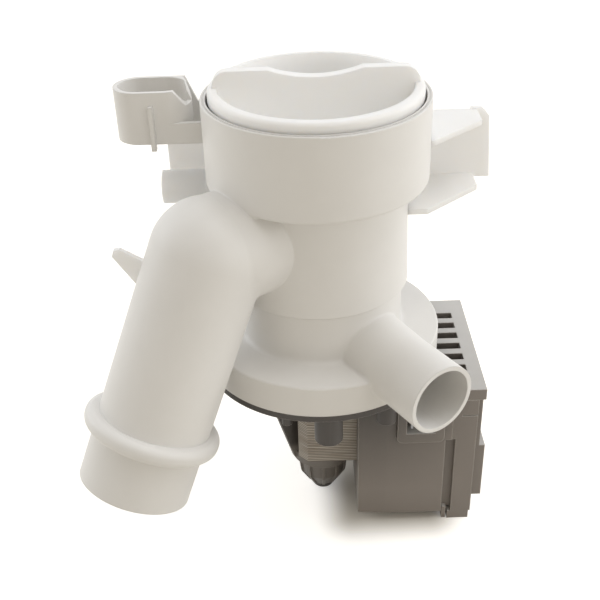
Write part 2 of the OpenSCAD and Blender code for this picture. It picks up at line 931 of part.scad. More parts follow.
module end_plug() {
  color(dark_grey)
    on_joint()
      rotate_extrude()
        right_half() rim_section(plug_r, floor_z, tail_z, below = 1);
}
module flange_screws() {
  color(steel)
    on_joint()
      at_boss(screw_angles)
        translate([0, 0, screw_seat]) {
          translate([0, 0, -screw_head_h]) cylinder(h = screw_head_h, r = screw_head_r);
          cylinder(h = skirt_h - 2 * wall - screw_seat, r = screw_r);
        }
}

// Stator
module stator_plan() {
  difference() {
    translate([-pole_reach, -stack_half]) square([stack_len + pole_reach, stack_w]);
    translate([-pole_reach - over, -limb_half])
      square([stack_len + pole_reach + over - yoke_t, limb_gap]);
    circle(can_r + slip);
    for (s = [-1, 1])
      translate([-pole_reach, s * stack_half])
        rotate(45)
          square(pole_chamfer * sqrt(2), center = true);
  }
}
module stator_core() {
  color(iron) on_joint() translate([0, 0, stack_foot]) linear_extrude(stack_h) stator_plan();
}

// One coil, on the front limb: the rear one is its mirror image
module limb_box(grow, x0, x1) {
  block(x0, x1, -stack_half - grow, -limb_half + grow, stack_foot - grow, stack_top + grow);
}
module bobbin() {
  difference() {
    union() {
      limb_box(bobbin_reach, bobbin_x, bobbin_end);
      for (x = [bobbin_x, bobbin_end - bobbin_flange_t]) limb_box(flange_reach, x, x + bobbin_flange_t);
    }
    limb_box(slip, bobbin_x - over, bobbin_end + over);
  }
}
module winding() {
  difference() {
    limb_box(bobbin_reach + wind_t, bobbin_x + bobbin_flange_t, bobbin_end - bobbin_flange_t);
    limb_box(bobbin_reach, bobbin_x, bobbin_end);
  }
}
module front_bobbin() color(dark_grey) on_joint() bobbin();
module rear_bobbin() color(dark_grey) on_joint() mirror([0, 1, 0]) bobbin();
module front_winding() color(copper) on_joint() winding();
module rear_winding() color(copper) on_joint() mirror([0, 1, 0]) winding();

// Covers
module cover_box(x0, x1, grow, z0, z1) block(x0, x1, -cover_front - grow, cover_back + grow, z0, z1);
module coil_cover() {
  color(grey_pp)
    on_joint()
      difference() {
        union() {
          cover_box(cover_x, seam_x, 0, cover_foot, vent_foot);
          cover_box(cover_x, seam_high_x, 0, seam_z, vent_foot);
          cover_box(
            seam_x - over, yoke_cover_x + groove_depth, -groove_depth, cover_foot + tongue_rise, vent_foot
          );
          block(
            peg_x, peg_x + peg_w, -cover_front + slip, groove_y + cover_wall, floor_z, cover_foot + peg_rise
          );
        }
        cover_box(cover_x + cover_wall, seam_x - cover_wall, -cover_wall, cover_foot + 2 * cover_wall, 0);
        cover_box(
          cover_x + cover_wall, cover_end, -groove_depth - cover_wall, cover_foot + 2 * cover_wall, 0
        );
        block(
          cover_x - over, cover_x + 2 * cover_wall, -stack_half - slip, stack_half + slip,
          stack_foot - slip, stack_top + slip
        );
        socket_body(slip / 2);
        translate([0, 0, cover_foot - over])
          linear_extrude(vent_foot - cover_foot + 2 * over)
            polygon([
              [cover_x - over, -cover_front - over], [bend_x, -cover_front - over], [bend_x, -cover_front],
              [cover_x - over, -cover_front + bend_depth]
            ]);
      }
}
module yoke_cover() {
  color(grey_pp)
    on_joint()
      difference() {
        union() {
          cover_box(yoke_cover_x, cover_end, 0, cover_foot, vent_foot);
          cover_box(seam_high_x + 0.05, cover_end, 0, seam_z + slip, vent_foot);
          for (y = [-cover_front, cover_back - foot_len])
            block(yoke_cover_x - foot_out, cover_end - foot_inset, y, y + foot_len, floor_z, cover_foot);
        }
        cover_box(
          seam_x, cover_end - cover_wall, -groove_depth + slip, cover_foot + tongue_rise - slip, 0
        );
        block(
          yoke_cover_x + groove_depth, cover_end + over, -cover_front - over, -cover_front + parting,
          vent_foot - lip_h - parting, vent_foot - lip_h
        );
      }
}
module vent_plate() {
  color(grey_pp)
    on_joint()
      difference() {
        block(cover_x, cover_end + vent_over, -cover_front, cover_back, vent_foot, vent_top);
        for (i = [0 : vent_slots - 1])
          block(
            vent_slot_x, cover_end + vent_over - vent_margin_end,
            cover_back - vent_margin_back - i * vent_pitch - vent_slot_w,
            cover_back - vent_margin_back - i * vent_pitch,
            vent_foot - over, vent_top + over
          );
      }
}
// Plug socket in the front of the coil cover
module socket_body(grow) {
  translate([0, -cover_front - socket_raise, 0])
    rotate([-90, 0, 0])
      linear_extrude(socket_depth + socket_raise)
        translate([(socket_x + socket_end) / 2, -(socket_top + socket_foot) / 2])
          round_square(
            socket_end - socket_x + 2 * grow, socket_top - socket_foot + 2 * grow, socket_round + grow
          );
}
module terminal_socket() {
  color(grey_pp)
    on_joint()
      difference() {
        socket_body(0);
        block(
          socket_x + socket_wall, socket_end - socket_wall,
          -cover_front - socket_raise - over, -cover_front + socket_depth - socket_back,
          socket_foot + socket_sill, socket_top - socket_wall
        );
        at_blades() block(-tab_t / 2, tab_t / 2, -over, socket_back + over, -tab_w / 2, tab_w / 2);
      }
}
module at_blades() {
  for (s = [-1, 1])
    translate([
      (socket_x + socket_end) / 2 + s * blade_pitch / 2, -cover_front + socket_depth - socket_back,
      (socket_foot + socket_top) / 2
    ])
      children();
}
module terminal_blades() {
  color(steel)
    on_joint()
      at_blades()
        block(-tab_t / 2, tab_t / 2, -socket_depth + socket_back, socket_back, -tab_w / 2, tab_w / 2);
}
module thermal_cutout() {
  color(dark_grey)
    on_joint()
      translate([
        (bobbin_x + bobbin_end - cutout_size[0]) / 2, stack_half + bobbin_reach + wind_t,
        (stack_top + stack_foot - cutout_size[2]) / 2
      ])
        cube(cutout_size);
}
module side_clip() {
  clip_front = -cover_front + clip_inset;
  clip_mid = seam_z - clip_drop;
  color(grey_pp)
    on_joint() {
      block(cover_end, cover_end + clip_t, clip_front, clip_front + clip_w, cover_foot + clip_drop, clip_mid);
      block(cover_end, cover_end + clip_t / 2, clip_front, clip_front + clip_w, clip_mid, vent_foot);
    }
}

filter_housing();
inlet_elbow();
outlet_spigot();
hose_ring();
locating_tab();
vent_nozzle();
side_fin();
mounting_bracket();
filter_cap();
cap_seal();
strainer_basket();
impeller();
drive_dog();
rotor_shaft();
rotor_magnet();
rotor_sleeve();
front_bearing();
rear_bearing();
bearing_holder();
shaft_seal();
volute_seal();
motor_flange();
end_plug();
flange_screws();
stator_core();
front_bobbin();
rear_bobbin();
front_winding();
rear_winding();
coil_cover();
yoke_cover();
vent_plate();
terminal_socket();
terminal_blades();
thermal_cutout();
side_clip();
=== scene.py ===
# %% [markdown]
# A washing machine's drain pump. The solids come packed, in metres, with the pump's axis along Z
# and the floor at zero, so nothing has to be fitted: the work here is finish, light and small forms.

# %% Load the solids
import json
import math
import bpy
import numpy as np
from mathutils import Matrix, Vector


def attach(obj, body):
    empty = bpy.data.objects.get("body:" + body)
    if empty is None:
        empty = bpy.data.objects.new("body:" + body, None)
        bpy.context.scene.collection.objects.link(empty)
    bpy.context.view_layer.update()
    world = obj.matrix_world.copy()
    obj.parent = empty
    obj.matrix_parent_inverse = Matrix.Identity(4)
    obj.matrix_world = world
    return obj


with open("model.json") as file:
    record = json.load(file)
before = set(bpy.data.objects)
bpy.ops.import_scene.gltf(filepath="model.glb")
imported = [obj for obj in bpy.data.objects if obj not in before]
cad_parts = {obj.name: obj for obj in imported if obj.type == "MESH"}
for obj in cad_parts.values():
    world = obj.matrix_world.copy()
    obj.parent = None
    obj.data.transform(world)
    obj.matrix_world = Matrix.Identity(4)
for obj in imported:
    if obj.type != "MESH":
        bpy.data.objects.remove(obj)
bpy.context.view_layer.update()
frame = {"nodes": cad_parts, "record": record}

MM = 0.001
nodes = frame["nodes"]

# %% [markdown]
# A finish is a small network of nodes. Wiring it by hand is slow to read, so one small class wraps a
# socket: sums and products of two wrapped sockets add their own Math nodes, and every other kind of
# node comes from one method that sets the node up first and then fills or links its inputs.


# %% A socket that does sums
class Wire:
    def __init__(self, tree, socket=None):
        self.tree = tree
        self.socket = socket

    def node(self, kind, settings=None, inputs=None, out=0):
        made = self.tree.nodes.new(kind)
        for key, value in (settings or {}).items():
            if key == "stops":
                ramp = made.color_ramp
                while len(ramp.elements) < len(value):
                    ramp.elements.new(0.5)
                for stop, (place, colour) in zip(ramp.elements, value):
                    stop.position = place
                    stop.color = (*colour, 1)
            else:
                setattr(made, key, value)
        for key, value in (inputs or {}).items():
            if isinstance(value, Wire):
                self.tree.links.new(value.socket, made.inputs[key])
            else:
                made.inputs[key].default_value = value
        return Wire(self.tree, made.outputs[out] if len(made.outputs) else None)

    def maths(self, operation, first, second):
        return self.node("ShaderNodeMath", {"operation": operation}, {0: first, 1: second})

    def __add__(self, other):
        return self.maths("ADD", self, other)

    def __radd__(self, other):
        return self.maths("ADD", other, self)

    def __sub__(self, other):
        return self.maths("SUBTRACT", self, other)

    def __rsub__(self, other):
        return self.maths("SUBTRACT", other, self)

    def __mul__(self, other):
        return self.maths("MULTIPLY", self, other)

    def __rmul__(self, other):
        return self.maths("MULTIPLY", other, self)

    def __truediv__(self, other):
        return self.maths("DIVIDE", self, other)

    def __pow__(self, other):
        return self.maths("POWER", self, other)


def blank_finish(name):
    material = bpy.data.materials.new(name)
    material.use_nodes = True
    material.node_tree.nodes.clear()
    return material, Wire(material.node_tree)


def close_finish(wire, shader):
    wire.node("ShaderNodeOutputMaterial", None, {"Surface": shader})


def grain(wire, place, scale, detail=3.0, rough=0.55):
    settings = {"noise_dimensions": "3D"}
    return wire.node("ShaderNodeTexNoise", settings,
                     {"Vector": place, "Scale": scale, "Detail": detail, "Roughness": rough})


def blend(wire, amount, first, second):
    settings = {"data_type": "RGBA"}
    return wire.node("ShaderNodeMix", settings, {"Factor": amount, "A": first, "B": second}, out=2)


def tint(wire, amount, dark, light):
    return blend(wire, amount, (*dark, 1), (*light, 1))


def soft_edges(wire, radius):
    return wire.node("ShaderNodeBevel", {"samples": 4}, {"Radius": radius})


def edge_mask(wire, rounded, gain):
    flat = wire.node("ShaderNodeNewGeometry", out=1)
    lined_up = wire.node("ShaderNodeVectorMath", {"operation": "DOT_PRODUCT"}, {0: rounded, 1: flat}, out=1)
    return wire.node("ShaderNodeMath", {"operation": "MULTIPLY", "use_clamp": True},
                     {0: 1 - lined_up, 1: gain})


def place_on_part(wire):
    return wire.node("ShaderNodeTexCoord", out=3)


print("shader tools ready")

# %% [markdown]
# Most of the pump is moulded plastic. Flow from the gates leaves faint clouds in it, the tool's polish
# leaves a fine grain, and handling rubs the edges shinier. The clouds change colour and gloss a little,
# the grain is a bump, and the edges come from comparing the true normal with one that is rounded off.
# Their paler colour is partly wear and partly a painted highlight. On the motor's covers the upward faces
# are painted paler, partly dust and partly painted light from above, and a painted shade darkens them
# under the pump's flange. The ribbed tail is painted paler near the foot: painted bounce light from the
# floor. Those are masks by slope, by height and by distance from the pump's axis.

# %% A moulded plastic
# Height below which the ribbed tail is painted paler: painted bounce light from the floor.
PAINTED_BOUNCE_HEIGHT = 24 * MM
PAINTED_BOUNCE_FADE = 3 * MM
# Pale colour for upward faces: partly dust, partly painted light from above.
DUST_AND_TOP_LIGHT = (0.690, 0.685, 0.670)
# Painted shade under the pump's flange, and the masks that place it.
PAINTED_SHADE = (0.050, 0.044, 0.038)
PAINTED_SHADE_FADE = {"From Min": 62 * MM, "From Max": 30 * MM}
PAINTED_SHADE_RISE = {"From Min": 16 * MM, "From Max": 54 * MM}
SCATTER = (1.0, 0.93, 0.85)


def moulded_plastic(name, dark, light, edge, gloss, grain_size, grain_depth,
                    edge_radius=0.5 * MM, edge_gain=2.0, see_through=0.0, see_depth=0.0,
                    dust_and_top_light=0.0, painted_bounce_height=0.0, painted_shade=0.0):
    material, wire = blank_finish(name)
    place = place_on_part(wire)
    clouds = grain(wire, place, 38.0, 4.0)
    streaks = grain(wire, place, 140.0, 2.0)
    skin = grain(wire, place, 1 / grain_size, 2.0, 0.6)
    rounded = soft_edges(wire, edge_radius)
    # Edges turn paler: partly rubbed wear, partly a painted highlight.
    worn_and_highlit = edge_mask(wire, rounded, edge_gain)
    body = tint(wire, clouds * 0.7 + streaks * 0.3, dark, light)
    # Painted shade: darker toward the top and near the axis, under the pump's flange.
    if painted_shade:
        across = [wire.node("ShaderNodeSeparateXYZ", None, {"Vector": place}, out=axis) for axis in range(3)]
        from_axis = (across[0] * across[0] + across[1] * across[1]) ** 0.5
        under = wire.node("ShaderNodeMapRange", None, {"Value": from_axis, **PAINTED_SHADE_FADE})
        high = wire.node("ShaderNodeMapRange", None, {"Value": across[2], **PAINTED_SHADE_RISE})
        body = blend(wire, under * high * (clouds * 0.3 + (painted_shade - 0.15)), body, (*PAINTED_SHADE, 1))
    colour = blend(wire, worn_and_highlit, body, (*edge, 1))
    # Upward faces painted paler: partly dust, partly painted light from above.
    if dust_and_top_light:
        facing = wire.node("ShaderNodeSeparateXYZ", None, {"Vector": rounded}, out=2)
        lying = wire.node("ShaderNodeMapRange", None, {"Value": facing, "From Min": 0.6, "From Max": 1.0})
        colour = blend(wire, lying * (clouds * 0.3 + (dust_and_top_light - 0.15)), colour, (*DUST_AND_TOP_LIGHT, 1))
    # Painted bounce light: paler near the floor.
    if painted_bounce_height:
        height = wire.node("ShaderNodeSeparateXYZ", None, {"Vector": place}, out=2)
        low = wire.node("ShaderNodeMapRange", None,
                        {"Value": height, "From Min": painted_bounce_height + PAINTED_BOUNCE_FADE, "From Max": painted_bounce_height})
        colour = blend(wire, low * 0.45, colour, (*edge, 1))
    dull = (streaks - 0.5) * 0.10 + (skin - 0.5) * 0.08 + gloss - worn_and_highlit * 0.06
    bump = wire.node("ShaderNodeBump", None,
                     {"Strength": 0.35, "Distance": grain_depth, "Height": skin, "Normal": rounded})
    shader = wire.node("ShaderNodeBsdfPrincipled", None,
                       {"Base Color": colour, "Roughness": dull, "Normal": bump, "IOR": 1.49,
                        "Subsurface Weight": see_through, "Subsurface Radius": SCATTER,
                        "Subsurface Scale": see_depth})
    close_finish(wire, shader)
    return material


print("moulded plastic ready")

# %% [markdown]
# The housing is polypropylene in a warm white with a satin skin. The small plates and the nozzle beside it
# have thin walls that let some light through, and their white is painted paler than the housing's: painted
# light from behind. The cap, with its hollow, is a paler white as well. The covers are a warm grey with pale
# edges, partly wear and partly a painted highlight, and the flange and its tail are nearly black.

# %% White and grey mouldings
WHITE = ((0.752, 0.742, 0.722), (0.828, 0.819, 0.801), (0.86, 0.853, 0.836), 0.44, 0.45 * MM, 0.05 * MM)
# The housing's white painted paler: painted light from behind the thin parts.
PAINTED_BACKLIT_WHITE = ((0.915, 0.912, 0.904), (0.950, 0.948, 0.942), (0.96, 0.958, 0.953), 0.44,
              0.45 * MM, 0.05 * MM)
CAP_WHITE = ((0.915, 0.909, 0.895), (0.945, 0.940, 0.928), (0.96, 0.955, 0.945), 0.40,
             0.45 * MM, 0.04 * MM, 1.0 * MM)
finishes = {
    "white_moulding": moulded_plastic("white_moulding", *WHITE),
    "thin_moulding_painted_backlight": moulded_plastic("thin_moulding_painted_backlight", *PAINTED_BACKLIT_WHITE, see_through=0.85, see_depth=6 * MM),
    "cap_moulding": moulded_plastic("cap_moulding", *CAP_WHITE, see_through=0.6, see_depth=5 * MM),
    "grey_moulding": moulded_plastic("grey_moulding", (0.214, 0.190, 0.171), (0.258, 0.231, 0.210),
                                     (0.52, 0.49, 0.45), 0.54, 0.35 * MM, 0.09 * MM, 0.6 * MM, 5.0,
                                     dust_and_top_light=0.65, painted_shade=1.0),
    "flange_moulding": moulded_plastic("flange_moulding", (0.044, 0.038, 0.033), (0.060, 0.052, 0.046),
                                       (0.30, 0.275, 0.25), 0.54, 0.35 * MM, 0.09 * MM, 0.4 * MM, 4.0,
                                       painted_bounce_height=PAINTED_BOUNCE_HEIGHT),
    "dark_moulding": moulded_plastic("dark_moulding", (0.055, 0.050, 0.045), (0.080, 0.073, 0.066),
                                     (0.13, 0.12, 0.11), 0.55, 0.35 * MM, 0.08 * MM),
}
print("plastics:", sorted(finishes))

# %% [markdown]
# The core is a pile of punched steel sheets under a millimetre thick, varnished and a little rusty at
# the cut edges. Modelling each sheet would cost thousands of faces for lines as thin as a hair, so the
# lines are drawn from the height instead: a saw tooth in Z gives the joint between two sheets, broken
# by noise so that no two look alike, and rust creeps along them.


# %% Laminated iron
SHEET = 0.8 * MM


def laminated_iron():
    material, wire = blank_finish("lamination_iron")
    place = place_on_part(wire)
    height = wire.node("ShaderNodeSeparateXYZ", None, {"Vector": place}, out=2)
    sheet = height / SHEET + grain(wire, place, 120.0, 2.0) * 0.06
    phase = wire.node("ShaderNodeMath", {"operation": "FRACT"}, {0: sheet})
    number = wire.node("ShaderNodeMath", {"operation": "FLOOR"}, {0: sheet})
    shade = wire.node("ShaderNodeTexWhiteNoise", {"noise_dimensions": "1D"}, {"W": number})
    joint = wire.node("ShaderNodeMath", {"operation": "MINIMUM"}, {0: phase, 1: 1 - phase})
    line = wire.node("ShaderNodeMapRange", None, {"Value": joint, "From Min": 0.05, "From Max": 0.40})
    flat = wire.node("ShaderNodeMapping", None, {"Vector": place, "Scale": (90.0, 90.0, 1200.0)})
    rust = wire.node("ShaderNodeTexNoise", None, {"Vector": flat, "Scale": 1.0, "Detail": 4.0})
    rusty = wire.node("ShaderNodeMapRange", None, {"Value": rust, "From Min": 0.50, "From Max": 0.75})
    steel = tint(wire, shade, (0.345, 0.310, 0.262), (0.490, 0.448, 0.385))
    stained = blend(wire, rusty * 0.5, steel, (0.24, 0.16, 0.10, 1))
    colour = blend(wire, line, (0.095, 0.078, 0.062, 1), stained)
    bump = wire.node("ShaderNodeBump", None, {"Strength": 0.5, "Distance": 0.1 * MM, "Height": line})
    shader = wire.node("ShaderNodeBsdfPrincipled", None,
                       {"Base Color": colour, "Roughness": 0.5 + rusty * 0.25, "Metallic": 0.30 - rusty * 0.2,
                        "Normal": bump})
    close_finish(wire, shader)
    return material


finishes["lamination_iron"] = laminated_iron()
print("laminated iron: sheets of", SHEET / MM, "mm")

# %% [markdown]
# What is left is small or hidden: enamelled copper in tight turns, turned steel with its tool lines,
# rubber with a dusty bloom and a sintered magnet. Copper turns and tool lines are waves along one
# axis; rubber and ferrite only need grain in colour, gloss and bump.


# %% Metals and rubber
def lined_metal(name, dark, light, pitch, axis, gloss):
    material, wire = blank_finish(name)
    place = place_on_part(wire)
    along = wire.node("ShaderNodeSeparateXYZ", None, {"Vector": place}, out=axis)
    wave = wire.node("ShaderNodeMath", {"operation": "SINE"}, {0: along * (2 * math.pi / pitch)})
    scuff = grain(wire, place, 420.0, 3.0)
    height = wave * 0.5 + 0.5
    bump = wire.node("ShaderNodeBump", None, {"Strength": 0.5, "Distance": pitch / 4, "Height": height})
    shader = wire.node("ShaderNodeBsdfPrincipled", None,
                       {"Base Color": tint(wire, height * 0.5 + scuff * 0.5, dark, light),
                        "Roughness": scuff * 0.2 + gloss, "Metallic": 1.0, "Normal": bump})
    close_finish(wire, shader)
    return material


def grained_solid(name, dark, light, gloss, size, metal=0.0):
    material, wire = blank_finish(name)
    place = place_on_part(wire)
    bloom = grain(wire, place, 90.0, 4.0)
    skin = grain(wire, place, 1 / size, 2.0)
    bump = wire.node("ShaderNodeBump", None,
                     {"Strength": 0.4, "Distance": 0.06 * MM, "Height": skin,
                      "Normal": soft_edges(wire, 0.4 * MM)})
    shader = wire.node("ShaderNodeBsdfPrincipled", None,
                       {"Base Color": tint(wire, bloom, dark, light), "Roughness": skin * 0.15 + gloss,
                        "Metallic": metal, "Normal": bump})
    close_finish(wire, shader)
    return material


finishes["copper_wire"] = lined_metal("copper_wire", (0.30, 0.10, 0.03), (0.62, 0.27, 0.09),
                                      0.45 * MM, 0, 0.28)
finishes["steel"] = lined_metal("steel", (0.30, 0.30, 0.31), (0.46, 0.46, 0.47), 0.25 * MM, 2, 0.35)
finishes["rubber"] = grained_solid("rubber", (0.018, 0.017, 0.016), (0.045, 0.042, 0.040), 0.55, 0.5 * MM)
finishes["ferrite"] = grained_solid("ferrite", (0.035, 0.035, 0.037), (0.06, 0.06, 0.062),
                                    0.42, 0.3 * MM, 0.3)
print("finishes:", sorted(finishes))

# %% [markdown]
# The record says which finish each solid wears. Its material slot is filled with ours, except that the thin
# parts wear the white with painted backlight, and the solids keep their meshes untouched.

# %% Dress the solids
slot_of = {entry["node"]: entry["material_slot"] for entry in frame["record"]["subparts"]}
# The thin parts wear the white with painted backlight.
THIN = ("mounting_bracket", "locating_tab", "vent_nozzle", "side_fin")
for name, solid in nodes.items():
    solid.data.materials.clear()
    solid.data.materials.append(finishes["thin_moulding_painted_backlight" if name in THIN else slot_of[name]])
print("dressed:", len(slot_of))

# %% [markdown]
# Where the elbow and the outlet leave the housing, the real moulding has a soft blend, because a sharp
# inside corner would tear the tool and weaken the part. Such a blend is the trace of a ball that rolls
# along the corner and touches both faces. To roll it, each face is written as a distance: how far a
# point lies outside it, in millimetres from the motor joint. Its slope points straight off the face.


# %% Faces as distances
def along_line(start, end, radius):
    start, end = np.array(start, float), np.array(end, float)
    span = end - start

    def distance(p):
        t = np.clip((p - start) @ span / (span @ span), 0, 1)
        return np.linalg.norm(p - start - t * span) - radius
    return distance


def disc(radius, top, bottom, edge):
    middle, half = (top + bottom) / 2, (top - bottom) / 2

    def distance(p):
        q = np.array([math.hypot(p[0], p[1]) - radius, abs(p[2] - middle) - half]) + edge
        return np.linalg.norm(np.maximum(q, 0)) + min(q.max(), 0) - edge
    return distance


def soft_join(first, second, radius):
    def distance(p):
        pair = np.array([first(p), second(p)])
        return max(radius, pair.min()) - np.linalg.norm(np.maximum(radius - pair, 0))
    return distance


def slope(field, p, step=0.005):
    moves = np.eye(3) * step
    rise = np.array([field(p + move) - field(p - move) for move in moves])
    return rise / np.linalg.norm(rise)


print("distances ready: line, disc and soft join")

# %% [markdown]
# The ball's centre is kept one radius from both faces by Newton's method. It steps along the cross product
# of the two slopes, one way and then the other, until it comes round or the two faces run side by side.

# %% A ball that rolls along two faces
SETTLE_STEPS = 8
FLAT_CUT = 0.02
LEAST_CORNER = 0.08
LEAST_ROUND = 12


def roll(first, second, ball, start, keep, step=0.5, limit=800):
    def settle(centre):
        for _ in range(SETTLE_STEPS):
            size = ball(centre)
            miss = np.array([first(centre) - size, second(centre) - size])
            slopes = np.array([slope(first, centre), slope(second, centre)])
            centre = centre - np.linalg.pinv(slopes, rcond=FLAT_CUT) @ miss
        return centre

    runs = []
    for way in (1, -1):
        run = []
        centre = settle(np.array(start, float))
        while len(run) < limit and keep(centre):
            a, b = slope(first, centre), slope(second, centre)
            ahead = np.cross(a, b)
            if np.linalg.norm(ahead) < LEAST_CORNER:
                break
            run.append((centre, ball(centre), a, b))
            centre = settle(centre + way * step * ahead / np.linalg.norm(ahead))
            if len(run) > LEAST_ROUND and np.linalg.norm(centre - run[0][0]) < step:
                return run + run[:1]
        runs.append(run)
    return runs[1][:0:-1] + runs[0]


print("rolling ball ready")

# %% [markdown]
# The arc between the two touching points, swept along the path, is the blend. Its normals point at the
# ball's centre, so it meets both faces without a crease, and both edges dip a little way under the faces
# so that no gap shows.


# %% A strip from the ball's path
def blend_strip(name, path, lift, cuts=8, lap=0.5, sink=0.12):
    points, normals = [], []
    for centre, ball, a, b in path:
        angle = math.acos(np.clip(a @ b, -1, 1))
        for i in range(cuts + 1):
            share = i / cuts
            normal = (math.sin((1 - share) * angle) * a + math.sin(share * angle) * b) / math.sin(angle)
            points.append(centre - ball * normal)
            normals.append(normal)
        for end, near, far in ((-cuts - 1, a, b), (-1, b, a)):
            away = far - (near @ far) * near
            edge = points[end] + lap * away / np.linalg.norm(away) - sink * near
            points.insert(len(points) + end + (end == -1), edge)
            normals.insert(len(normals) + end + (end == -1), near)
    across = cuts + 3
    faces = []
    for row in range(len(path) - 1):
        for i in range(across - 1):
            corner = row * across + i
            faces.append((corner, corner + across, corner + across + 1, corner + 1))
    mesh = bpy.data.meshes.new(name)
    mesh.from_pydata([((p + lift) * MM).tolist() for p in points], [], faces)
    mesh.update()
    middle = len(faces) // 2
    if np.dot(mesh.polygons[middle].normal, normals[faces[middle][0]]) < 0:
        mesh.flip_normals()
    mesh.shade_smooth()
    mesh.normals_split_custom_set_from_vertices([n.tolist() for n in normals])
    piece = bpy.data.objects.new(name, mesh)
    bpy.context.scene.collection.objects.link(piece)
    mesh.materials.append(finishes["white_moulding"])
    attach(piece, "pump")
    return piece


print("strip maker ready")

# %% [markdown]
# Few faces meet at these corners. Collar, body, neck and skirt turn round the pump's axis, the elbow is a
# leg and a stub that share one round bend, and the outlet is a tube with a tapered root. Their sizes are
# the solids' own, in millimetres, with heights counted from the motor joint.

# %% The housing's faces
JOINT = np.array([0, 0, 68.0])
COLLAR_R, COLLAR_FOOT, COLLAR_TOP, COLLAR_EDGE = 37.0, 68.5, 96.7, 1.2
BODY_FOOT_R, BODY_TOP_R, FOOT_CHAMFER = 31.0, 30.0, 0.6
NECK_R, NECK_TOP, NECK_FOOT, NECK_EDGE = 29.0, 30.5, -5.0, 0.5
NECK_LAP = 2.0
SKIRT_R, SKIRT_TOP, SKIRT_EDGE, COVE = 42.6, 11.7, 0.8, 1.8
collar = disc(COLLAR_R, COLLAR_TOP, COLLAR_FOOT, COLLAR_EDGE)
neck = disc(NECK_R, NECK_TOP + NECK_LAP, NECK_FOOT, NECK_EDGE)
skirt = disc(SKIRT_R, SKIRT_TOP, -SKIRT_TOP, SKIRT_EDGE)


def body(p):
    foot = NECK_TOP + FOOT_CHAMFER
    draft = (BODY_FOOT_R - BODY_TOP_R) / (COLLAR_FOOT - foot)
    side = math.hypot(p[0], p[1]) - BODY_FOOT_R + draft * (p[2] - foot)
    return max(side / math.hypot(1, draft), NECK_TOP - p[2])


print("housing faces: collar, body, neck and skirt")

# %% The elbow's and outlet's faces
INLET_WAY, BEND_REACH, BEND_HEIGHT = math.radians(216), 44.4, 54.0
LEG_LEAN, LEG_LEN, LEG_R = math.radians(25.6), 84.0, 19.0
STUB_LEN, STUB_R = 40.0, 18.6
OUTLET_WAY, OUTLET_ASIDE, OUTLET_HEIGHT = math.radians(-57.7), 3.8, 12.4
OUTLET_R, OUTLET_ROOT_R = 12.2, 13.2
TAPER_START, TAPER_LEN = 23.0, 20.0
inward = np.array([-math.cos(INLET_WAY), -math.sin(INLET_WAY), 0])
downward = -math.sin(LEG_LEAN) * inward - np.array([0, 0, math.cos(LEG_LEAN)])
bend = -BEND_REACH * inward + np.array([0, 0, BEND_HEIGHT])
leg = along_line(bend, bend + LEG_LEN * downward, LEG_R)
stub = along_line(bend, bend + STUB_LEN * inward, STUB_R)
outward = np.array([math.cos(OUTLET_WAY), math.sin(OUTLET_WAY), 0])
aside = np.array([-outward[1], outward[0], 0])
mouth_line = OUTLET_ASIDE * aside + np.array([0, 0, OUTLET_HEIGHT])


def outlet(p):
    reach = (p - mouth_line) @ outward
    off = np.linalg.norm(p - mouth_line - reach * outward)
    taper = (OUTLET_ROOT_R - OUTLET_R) / TAPER_LEN
    cone = (off - OUTLET_ROOT_R + taper * (reach - TAPER_START)) / math.hypot(1, taper)
    return min(cone, off - OUTLET_R)


print("elbow and outlet faces: leg, stub and outlet")

# %% [markdown]
# Three balls roll: a small one where the elbow meets the housing, one round the outlet's root, and a large
# one in the hollow of the elbow's bend, which shrinks where the housing leaves it no room. Each starts
# at a rough place near its corner and settles into it.

# %% Blends on the housing
CORNER = 0.4
ELBOW_BALL, OUTLET_BALL, BEND_BALL = 0.6, 1.0, 14.0
ROOM_SHARE = 0.8
OUTLET_LOWEST = 1.5
elbow = soft_join(leg, stub, CORNER)
housing = soft_join(soft_join(body, collar, CORNER), neck, CORNER)
foot = soft_join(neck, skirt, COVE)
front = np.cross(inward, downward)
front /= np.linalg.norm(front)
above_collar = bend + 4 * inward + np.array([0, 0, 22.5])
above_outlet = mouth_line + 31 * outward + np.array([0, 0, 17.0])
in_the_bend = bend + 14 * (inward + downward) + 24 * front


def bend_ball(c):
    return min(BEND_BALL, ROOM_SHARE * housing(c))


elbow_path = roll(elbow, housing, lambda c: ELBOW_BALL, above_collar, lambda c: True)
outlet_path = roll(outlet, foot, lambda c: OUTLET_BALL, above_outlet, lambda c: c[2] > OUTLET_LOWEST)
bend_path = roll(leg, stub, bend_ball, in_the_bend, lambda c: True, step=1.0)
blend_strip("elbow_blend", elbow_path, JOINT)
blend_strip("outlet_blend", outlet_path, JOINT)
blend_strip("bend_blend", bend_path, JOINT)
print("blends of", len(elbow_path), len(outlet_path), "and", len(bend_path), "steps")

# %% [markdown]
# The photograph was taken from in front and above. Its camera was worked out from the round edges
# of the housing: about 56 mm of lens on a 36 mm sensor, looking down by 32 degrees with a slight roll.

